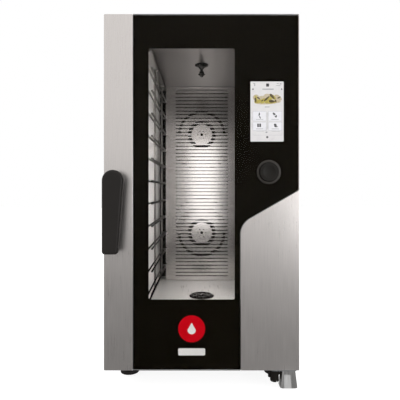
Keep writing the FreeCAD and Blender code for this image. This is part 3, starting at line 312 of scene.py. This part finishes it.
glass_low, glass_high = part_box("door_outer_glass")
inner_low, inner_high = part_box("door_inner_glass")
trim_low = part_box("door_right_trim")[0]
ring_low, ring_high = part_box("knob_bezel")
screen_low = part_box("display_module")[0]
glass_back = glass_high.y

KNOB_X = (ring_low.x + ring_high.x) / 2
KNOB_Z = (ring_low.z + ring_high.z) / 2
KNOB_HOLE_RADIUS = 0.0321
WINDOW_SIDE = 0.0167
WINDOW_SILL = 0.0177
WINDOW_HEAD = 0.0207
WINDOW = (
    inner_low.x + WINDOW_SIDE, inner_low.z + WINDOW_SILL,
    inner_high.x - WINDOW_SIDE, inner_high.z - WINDOW_HEAD,
)
WINDOW_CORNER = 0.004
SCREEN = (0.1432, 0.7385, 0.2405, 0.9145)
SCREEN_CORNER = 0.002
TRIM_LEFT = trim_low.x
TRIM_CORNER_Z = 0.498
TRIM_RADIUS = 0.052
SLOPE = math.radians(30.0)
PRINT_INSET = 0.0008
PRINT_GAP = 0.001
PRINT_FRONT = glass_back + 0.0001
PRINT_BACK = glass_back + 0.00025


def trim_corner():
    """Arc of the print's edge where it goes round the right trim's corner."""
    offset = TRIM_RADIUS * math.tan((math.pi / 2 - SLOPE) / 2)
    centre = (TRIM_LEFT + TRIM_RADIUS, TRIM_CORNER_Z - offset)
    start = math.pi
    end = math.pi / 2 + SLOPE
    steps = 16
    angles = [start + (end - start) * i / steps for i in range(steps + 1)]
    radius = TRIM_RADIUS + PRINT_GAP
    return [(centre[0] + radius * math.cos(a), centre[1] + radius * math.sin(a)) for a in angles]


slope_top = TRIM_CORNER_Z + (glass_high.x - TRIM_LEFT) * math.tan(SLOPE)
outline = [
    (glass_low.x + PRINT_INSET, glass_low.z + PRINT_INSET),
    (TRIM_LEFT - PRINT_GAP, glass_low.z + PRINT_INSET),
    *trim_corner(),
    (glass_high.x - PRINT_INSET, slope_top + PRINT_GAP),
    (glass_high.x - PRINT_INSET, glass_high.z - 3 * PRINT_INSET),
    (glass_high.x - 3 * PRINT_INSET, glass_high.z - PRINT_INSET),
    (glass_low.x + PRINT_INSET, glass_high.z - PRINT_INSET),
]
holes = [
    rounded(*WINDOW, WINDOW_CORNER), rounded(*SCREEN, SCREEN_CORNER),
    disc(KNOB_X, KNOB_Z, KNOB_HOLE_RADIUS),
]
layer("glass_print", [outline, *holes], PRINT_FRONT, PRINT_BACK, print_black)

# ---- generic emblem: a red disc with a white drop, and a plain white bar
red = finish("emblem_red", (0.62, 0.002, 0.008), (0.78, 0.004, 0.016), (0.4, 0.55), 0.0,
             (1, 1, 1), 500, 30.0, 0.03, Specular_IOR_Level=0.0)
white = finish("emblem_white", (0.93, 0.93, 0.92), (0.99, 0.99, 0.98), (0.4, 0.55), 0.0,
               (1, 1, 1), 500, 30.0, 0.03)
EMBLEM_X = -0.029
EMBLEM_Z = 0.190
EMBLEM_RADIUS = 0.0395
EMBLEM_FRONT = glass_back + 0.00002
EMBLEM_BACK = glass_back + 0.00008
BAR_Z = (0.112, 0.133)
BAR_CORNER = 0.004
DROP_Z = EMBLEM_Z - 0.004
DROP_RADIUS = 0.0120
DROP_GAP = 0.0001


def drop(cx, cz, radius, steps=40, pinch=0.55, rise=0.75):
    """A water drop: round below, drawn up to a point."""
    loop = []
    for i in range(steps):
        angle = math.tau * i / steps - math.pi / 2
        lift = max(0.0, math.sin(angle))
        width = 1.0 - pinch * lift ** 1.5
        height = math.sin(angle) + rise * lift ** 3
        loop.append((cx + radius * math.cos(angle) * width, cz + radius * height))
    return loop


emblem_layers = (
    ("emblem_disc", red, [
        disc(EMBLEM_X, EMBLEM_Z, EMBLEM_RADIUS), drop(EMBLEM_X, DROP_Z, DROP_RADIUS + DROP_GAP),
    ]),
    ("emblem_drop", white, [drop(EMBLEM_X, DROP_Z, DROP_RADIUS)]),
    ("emblem_bar", white, [
        rounded(EMBLEM_X - EMBLEM_RADIUS, BAR_Z[0], EMBLEM_X + EMBLEM_RADIUS, BAR_Z[1], BAR_CORNER),
    ]),
)
for name, mat, loops in emblem_layers:
    layer(name, loops, EMBLEM_FRONT, EMBLEM_BACK, mat)

# ---- the screen's picture
ui_grey = lit("ui_grey", (0.32, 0.32, 0.34), (0.42, 0.42, 0.44), 1.0)
ui_dark = lit("ui_dark", (0.015, 0.015, 0.018), (0.04, 0.04, 0.045), 1.0)
ui_line = lit("ui_line", (0.50, 0.50, 0.54), (0.60, 0.60, 0.64), 1.0)
ui_tile = lit("ui_tile", (0.80, 0.80, 0.84), (0.90, 0.90, 0.93), 1.0)
ui_pale = lit("ui_pale", (0.42, 0.34, 0.20), (0.72, 0.64, 0.50), 1.0, 500)
ui_olive = lit("ui_olive", (0.30, 0.24, 0.02), (0.62, 0.53, 0.12), 1.0, 500)
ui_brown = lit("ui_brown", (0.020, 0.012, 0.002), (0.12, 0.08, 0.010), 1.0, 500)
UI_FILM = 0.00003
UI_GAP = 0.00002
UI_BACK = screen_low.y - UI_GAP


def ui(name, mat, loops, level=1):
    """Loops are in millimetres from the lit screen's upper left corner, y down; level 1 is the rear film."""
    moved = [[(SCREEN[0] + u / 1000, SCREEN[3] - v / 1000) for u, v in loop] for loop in loops]
    front = UI_BACK - UI_FILM * level
    layer(name, moved, front, UI_BACK - UI_FILM * (level - 1), mat)


def blobs(name, mat, loops, level=1, step=0.1):
    """Overlapping shapes of one colour, each on its own film."""
    for i, loop in enumerate(loops):
        ui(f"{name}_{i}", mat, [loop], level + step * i)


def bar(u, v, w, h, radius=0.6):
    """Rounded bar; its corner stays just under half of either side."""
    return rounded(u, v, u + w, v + h, min(radius, w / 2.01, h / 2.01), 3)


def dot(u, v, radius):
    return disc(u, v, radius, 20)


def leaf(u, v, length, width, turn, steps=24, taper=0.35):
    """Loop of an oval that narrows towards one end, turned by so many degrees."""
    a = math.radians(turn)
    points = []
    for i in range(steps):
        t = math.tau * i / steps
        x, y = length / 2 * math.cos(t), width / 2 * math.sin(t) * (1 - taper * math.cos(t))
        points.append((u + x * math.cos(a) - y * math.sin(a), v + x * math.sin(a) + y * math.cos(a)))
    return points


ui("ui_status", ui_dark, [
    bar(46, 6, 8.5, 9, 1.0), dot(7.5, 22.5, 2.1), dot(91.5, 22.5, 2.1), dot(49.3, 163, 3.2),
])
ui("ui_marks", ui_grey, [
    bar(8, 5, 6, 2), bar(11, 8, 3, 5), bar(77, 5, 6, 2), bar(86, 5.5, 5, 3), bar(75, 11, 13, 1.5),
    bar(35, 21, 33, 3), bar(42, 73.5, 14, 2.2), bar(44, 147, 6, 3.5, 1.6),
])
blobs("ui_dish", ui_pale, [
    leaf(17, 50, 24, 17, 75), leaf(33, 49, 26, 14, -20), leaf(55, 45, 34, 16, 5), leaf(80, 49, 26, 18, 20),
    leaf(50, 59, 78, 16, 0),
])
blobs("ui_dish_food", ui_olive, [
    leaf(24, 58, 26, 11, -10), leaf(38, 56, 22, 12, -35), leaf(52, 54, 26, 15, -30), leaf(66, 46, 20, 12, 30),
    leaf(62, 60, 30, 9, 0), leaf(17, 48, 14, 6, 65),
], 2)
blobs("ui_dish_dark", ui_brown, [
    leaf(48, 50, 22, 5, -42), leaf(64, 44, 20, 7, 48), leaf(63, 58, 18, 8, 5), leaf(15, 55, 16, 5, 80),
    leaf(24, 49, 12, 4, 35), leaf(35, 56, 9, 3, -30), leaf(84, 47, 11, 4, -25), leaf(74, 57, 9, 4, 60),
], 3)
TILES = ((7.5, 88, 38.5, 27), (53, 88, 38.5, 27), (7.5, 119.5, 38.5, 23.5), (53, 119.5, 38.5, 23.5))
ui("ui_tile_edges", ui_line, [bar(u - 0.8, v - 0.8, w + 1.6, h + 1.6, 2.0) for u, v, w, h in TILES])
ui("ui_tiles", ui_tile, [bar(u, v, w, h, 1.5) for u, v, w, h in TILES], 2)
ui("ui_tile_rules", ui_grey, [
    bar(49, 90, 0.7, 50), bar(18, 145.5, 22, 0.7), bar(62, 145.5, 24, 0.9), bar(8, 157, 84, 0.4),
    bar(16, 110.5, 22, 1.2), bar(61, 110.5, 22, 1.2), bar(17, 138.0, 20, 1.6), bar(62, 138.0, 21, 1.6),
], 3)
ui("ui_icons", ui_dark, [
    leaf(26, 96, 4, 10, 10), leaf(28, 105, 3, 8, -25),
    leaf(70, 96, 6, 12, -35), leaf(74, 101, 7, 9, -40),
    bar(20, 123.5, 4.6, 10), bar(26, 123.5, 5, 10),
    leaf(73, 127, 9, 6, 20), leaf(75, 132, 11, 4, 10),
], 3)


# ---------------------------------------------------------------- studio
def area(name, place, aim, width, height, power, camera=True, glossy=True):
    """White panel at place, facing aim; with glossy off it lights only diffuse surfaces."""
    data = bpy.data.lights.new(name, "AREA")
    data.shape = "RECTANGLE"
    data.size = width
    data.size_y = height
    data.energy = power
    lamp_object = bpy.data.objects.new(name, data)
    bpy.context.scene.collection.objects.link(lamp_object)
    lamp_object.location = place
    lamp_object.rotation_euler = (Vector(aim) - Vector(place)).to_track_quat("-Z", "Y").to_euler()
    lamp_object.visible_camera = camera
    lamp_object.visible_glossy = glossy
    lamp_object.visible_transmission = glossy


SKY_TONES = ((0.28, 0.27), (0.40, 0.19), (0.495, 0.92), (0.74, 1.08))
SKY_TINT = (1.0, 0.985, 0.97)


def studio_world():
    """Grey gradient by height for light and reflections, and plain white for the camera."""
    world = bpy.data.worlds.new("studio")
    bpy.context.scene.world = world
    world.use_nodes = True
    tree = world.node_tree
    background = tree.nodes["Background"]
    output = tree.nodes["World Output"]
    coord = tree.nodes.new("ShaderNodeTexCoord").outputs["Generated"]
    split = tree.nodes.new("ShaderNodeSeparateXYZ")
    tree.links.new(coord, split.inputs["Vector"])
    ramp = tree.nodes.new("ShaderNodeValToRGB")
    rows = ramp.color_ramp.elements
    rows.new(0.5)
    rows.new(0.6)
    for row, (place, tone) in zip(rows, SKY_TONES):
        row.position = place
        row.color = (*(tint * tone for tint in SKY_TINT), 1.0)
    half = combine(tree, "ADD", combine(tree, "MULTIPLY", split.outputs["Z"], 0.5), 0.5)
    tree.links.new(half, ramp.inputs["Fac"])
    tree.links.new(ramp.outputs["Color"], background.inputs["Color"])
    background.inputs["Strength"].default_value = 1.0
    backdrop = tree.nodes.new("ShaderNodeBackground")
    backdrop.inputs["Strength"].default_value = 1.0
    mix = tree.nodes.new("ShaderNodeMixShader")
    path = tree.nodes.new("ShaderNodeLightPath")
    tree.links.new(path.outputs["Is Camera Ray"], mix.inputs["Fac"])
    tree.links.new(background.outputs["Background"], mix.inputs[1])
    tree.links.new(backdrop.outputs["Background"], mix.inputs[2])
    tree.links.new(mix.outputs["Shader"], output.inputs["Surface"])
    backdrop.inputs["Color"].default_value = (1, 1, 1, 1)


def studio_floor():
    """White floor that the camera and the diffuse light see, and no reflection does."""
    size = 12.0
    mesh = bpy.data.meshes.new("floor")
    corners = [(-size, -size, 0), (size, -size, 0), (size, size, 0), (-size, size, 0)]
    mesh.from_pydata(corners, [], [(0, 1, 2, 3)])
    floor = bpy.data.objects.new("floor", mesh)
    bpy.context.scene.collection.objects.link(floor)
    mesh.materials.append(finish("floor_pale", (0.30, 0.30, 0.30), (0.34, 0.34, 0.34), (0.8, 0.9), 0.0,
                                 (1, 1, 1), 20, 1.0, 0.0, Specular_IOR_Level=0.1,
                                 Emission_Color=(1, 1, 1, 1), Emission_Strength=0.86))
    floor.visible_glossy = False
    floor.visible_transmission = False


def flag(name, x, y0, y1, z0, z1):
    """Dark card beside the chrome head, seen only in its reflections."""
    mesh = bpy.data.meshes.new(name)
    mesh.from_pydata([(x, y0, z0), (x, y1, z0), (x, y1, z1), (x, y0, z1)], [], [(0, 1, 2, 3)])
    card = bpy.data.objects.new(name, mesh)
    bpy.context.scene.collection.objects.link(card)
    mesh.materials.append(knob_black)
    for way in ("camera", "diffuse", "transmission", "shadow"):
        setattr(card, "visible_" + way, False)


studio_world()
studio_floor()
head_low, head_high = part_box("shower_head")
FLAG_GAP = 0.012
FLAG_DEEP = 0.06
FLAG_HIGH = 0.01
for name, x in (("flag_left", head_low.x - FLAG_GAP), ("flag_right", head_high.x + FLAG_GAP)):
    flag(name, x, head_low.y + FLAG_GAP, head_high.y + FLAG_DEEP, head_low.z, head_high.z + FLAG_HIGH)
cavity_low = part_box("cavity_side_walls")[0]
cover_low, cover_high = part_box("fan_cover")
middle = (cover_low + cover_high) / 2
area("key", (-1.4, -3.2, 2.6), (0, 0, 0.7), width=2.4, height=2.0, power=26, glossy=False)
area("fill", (1.8, -2.6, 1.3), (0, 0, 0.5), width=1.8, height=1.8, power=10, glossy=False)
area("floor_wash", (0, -0.6, 3.4), (0, -0.2, 0), width=3.0, height=3.0, power=40, glossy=False)
area("side_panel", (1.5, -2.1, 0.62), (0.2, -0.43, 0.5), width=1.3, height=0.9, power=15.5)
area("cavity_lamp", (0.015, cavity_low.y + 0.03, middle.z), (0.015, cover_low.y, middle.z),
     width=0.17, height=0.48, power=0.47, camera=False)
area("wall_lamp", (0.12, cavity_low.y + 0.06, middle.z), (cavity_low.x, 0.1, middle.z),
     width=0.10, height=0.84, power=4.6, camera=False, glossy=False)

# stacked panels in the fan chamber add up to a soft glow behind the cover's slots
GLOW_Z = 0.585
GLOW_WIDTH = 0.232
GLOW_POWER = 0.14
for height in (0.10, 0.19, 0.28):
    area(f"chamber_glow_{height}", (0, cover_high.y - 0.025, GLOW_Z), (0, 0, GLOW_Z),
         width=GLOW_WIDTH, height=height, power=GLOW_POWER * height)
head_middle = (head_low + head_high) / 2
area("chrome_card", (head_middle.x + 0.012, head_low.y - 0.08, -0.015), head_middle,
     width=0.022, height=0.10, power=0.0022, camera=False)

camera_data = bpy.data.cameras.new("camera")
camera_data.lens = 37.04
camera_data.sensor_width = 36.0
camera_data.shift_x = -0.005
camera_data.shift_y = -0.025
camera = bpy.data.objects.new("camera", camera_data)
bpy.context.scene.collection.objects.link(camera)
camera.location = (0.0013, -1.631, 0.5966)
camera.rotation_euler = (math.pi / 2, 0, 0)
bpy.context.scene.camera = camera
bpy.context.scene.view_settings.view_transform = "Standard"
